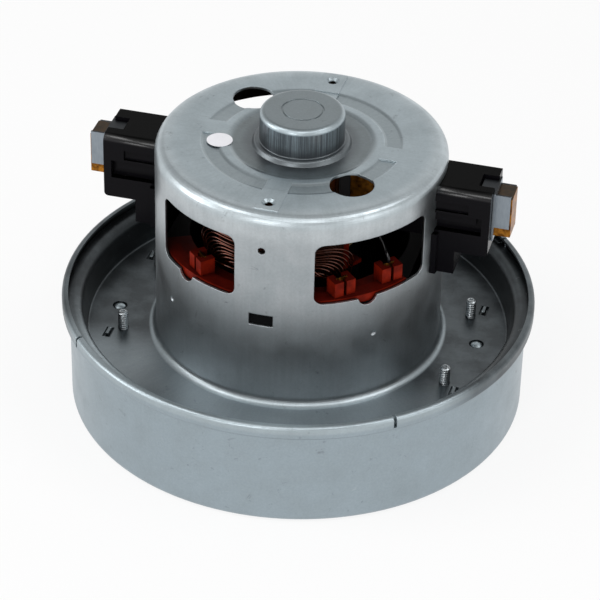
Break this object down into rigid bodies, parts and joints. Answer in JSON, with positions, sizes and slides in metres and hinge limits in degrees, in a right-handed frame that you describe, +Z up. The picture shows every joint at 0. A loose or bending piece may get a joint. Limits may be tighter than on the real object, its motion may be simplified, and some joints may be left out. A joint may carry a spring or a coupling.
{
  "type": "vacuum motor unit",
  "caption": "Round suction motor: drawn steel motor case with air windows and side brush holders on a wide fan can with a rolled lip, around a commutator rotor and impeller.",
  "frame": {"origin": "on the shaft axis at the underside of the fan cover", "axes": "+Z up the shaft towards the bearing boss, X along the two brushes"},
  "size_m": [0.135, 0.135, 0.0921],
  "materials": {
    "zinc_steel": "satin zinc coat",
    "diffuser_plastic": "moulded, satin",
    "screw_steel": "zinc plated",
    "electrical_steel": "stacked laminations",
    "red_plastic": "moulded, satin",
    "copper_wire": "enamelled copper",
    "brass": "drawn brass",
    "tinned_brass": "tin plated",
    "black_plastic": "moulded, satin",
    "carbon": "pressed carbon",
    "spring_steel": "bright wire",
    "shaft_steel": "ground",
    "fibre": "pressed fibre",
    "phenolic": "moulded",
    "commutator_copper": "turned copper",
    "bearing_steel": "ground",
    "cage_brass": "pressed",
    "impeller_aluminium": "rolled sheet"
  },
  "bodies": {
    "stator": {"motor_case": "zinc_steel", "fan_cover": "zinc_steel", "bearing_bracket": "zinc_steel", "diffuser": "diffuser_plastic", "diffuser_screws": "screw_steel", "stator_core": "electrical_steel", "upper_insulator": "red_plastic", "lower_insulator": "red_plastic", "front_coil_core": "copper_wire", "rear_coil_core": "copper_wire", "front_coil_wire": "copper_wire", "rear_coil_wire": "copper_wire", "right_brush_pigtail": "copper_wire", "left_brush_pigtail": "copper_wire", "coil_terminals": "brass", "right_brush_tube": "brass", "left_brush_tube": "brass", "right_brush_terminal": "tinned_brass", "left_brush_terminal": "tinned_brass", "right_brush_holder": "black_plastic", "left_brush_holder": "black_plastic", "right_brush_lead": "black_plastic", "left_brush_lead": "black_plastic", "right_brush_spring": "spring_steel", "left_brush_spring": "spring_steel", "preload_washer": "spring_steel", "upper_bearing_outer_ring": "bearing_steel", "upper_bearing_shields": "bearing_steel", "lower_bearing_outer_ring": "bearing_steel", "lower_bearing_shields": "bearing_steel"},
    "rotor": {"shaft": "shaft_steel", "armature_core": "electrical_steel", "armature_end_discs": "fibre", "upper_armature_winding": "copper_wire", "lower_armature_winding": "copper_wire", "commutator_hub": "phenolic", "commutator_bars": "commutator_copper", "lower_shaft_sleeve": "shaft_steel", "upper_shaft_sleeve": "shaft_steel", "upper_bearing_inner_ring": "bearing_steel", "lower_bearing_inner_ring": "bearing_steel", "impeller_back_plate": "impeller_aluminium", "impeller_blades": "impeller_aluminium", "impeller_front_plate": "impeller_aluminium", "impeller_sleeve": "shaft_steel", "impeller_washer": "screw_steel", "impeller_nut": "screw_steel"},
    "upper_cage": {"upper_bearing_balls": "bearing_steel", "upper_bearing_cage": "cage_brass"},
    "lower_cage": {"lower_bearing_balls": "bearing_steel", "lower_bearing_cage": "cage_brass"},
    "right_brush": {"right_carbon_brush": "carbon"},
    "left_brush": {"left_carbon_brush": "carbon"}
  },
  "joints": [
    {"name": "rotor_spin", "type": "hinge", "parent": "stator", "child": "rotor", "pos_m": [0, 0, 0.0247], "axis": [0, 0, 1], "continuous": true},
    {"name": "upper_cage_spin", "type": "hinge", "parent": "stator", "child": "upper_cage", "pos_m": [0, 0, 0.0247], "axis": [0, 0, 1], "continuous": true},
    {"name": "lower_cage_spin", "type": "hinge", "parent": "stator", "child": "lower_cage", "pos_m": [0, 0, 0.0247], "axis": [0, 0, 1], "continuous": true},
    {"name": "right_brush_slide", "type": "slide", "parent": "stator", "child": "right_brush", "axis": [1, 0, 0], "range_m": [0, 0.008], "stiffness_N_per_m": 100, "springref_m": -0.02, "deforming": ["right_brush_spring", "right_brush_pigtail"]},
    {"name": "left_brush_slide", "type": "slide", "parent": "stator", "child": "left_brush", "axis": [-1, 0, 0], "range_m": [0, 0.008], "stiffness_N_per_m": 100, "springref_m": -0.02, "deforming": ["left_brush_spring", "left_brush_pigtail"]}
  ],
  "couplings": [
    {"joint": "upper_cage_spin", "follows": "rotor_spin", "ratio": 0.3677},
    {"joint": "lower_cage_spin", "follows": "rotor_spin", "ratio": 0.3677}
  ]
}
